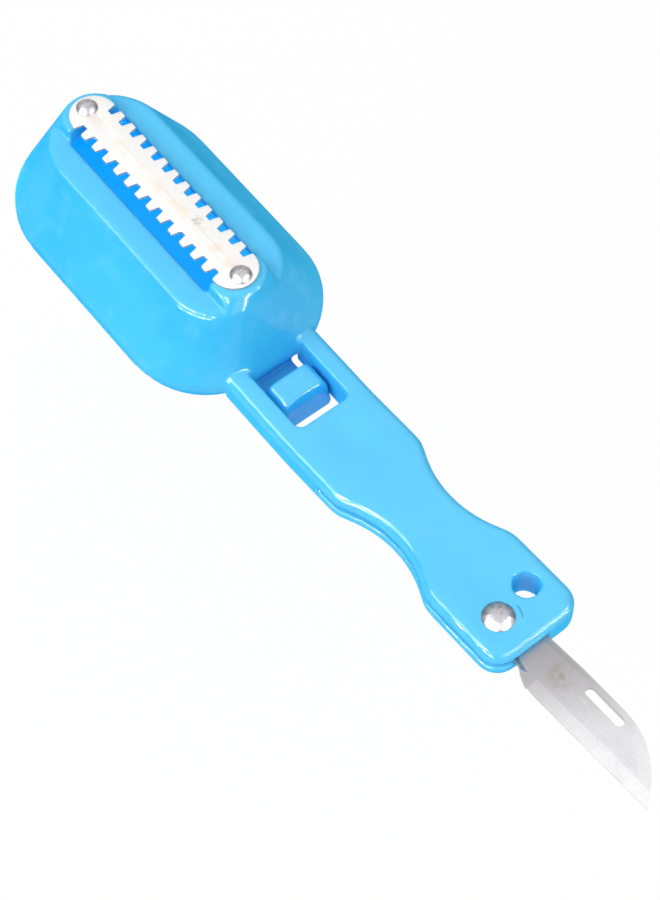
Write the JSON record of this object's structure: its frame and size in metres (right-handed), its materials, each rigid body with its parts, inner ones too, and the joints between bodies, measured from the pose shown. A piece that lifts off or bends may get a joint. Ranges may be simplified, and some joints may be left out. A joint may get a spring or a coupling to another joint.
{
  "type": "fish scaler",
  "caption": "Hand-held fish scaler: toothed strip over a hollow head that catches the scales, hinged emptying lid, waisted handle with a folding knife.",
  "frame": {"origin": "middle of the head in the plane of the flat underside of the lid", "axes": "+X from the head along the tool to the knife, +Y to the side of the hanging hole, +Z to the toothed side"},
  "size_m": [0.2345, 0.054, 0.0305],
  "materials": {
    "blue_plastic": "satin moulded",
    "strip_steel": "stamped and polished",
    "blade_steel": "fine brushed",
    "rivet_metal": "polished dome"
  },
  "bodies": {
    "housing": {"body": "blue_plastic", "scraper_strip": "strip_steel", "strip_rivet_far": "rivet_metal", "strip_rivet_near": "rivet_metal", "knife_rivet": "rivet_metal"},
    "lid": {"lid": "blue_plastic"},
    "knife": {"knife_blade": "blade_steel"}
  },
  "joints": [
    {"name": "lid_hinge", "type": "hinge", "parent": "housing", "child": "lid", "pos_m": [-0.0432, 0, 0.0021], "axis": [0, 1, 0], "range_deg": [0, 100]},
    {"name": "knife_fold", "type": "hinge", "parent": "housing", "child": "knife", "pos_m": [0.13416, -0.0048, 0.01057], "axis": [0.0854, 0, -0.9963], "range_deg": [0, 180]}
  ]
}
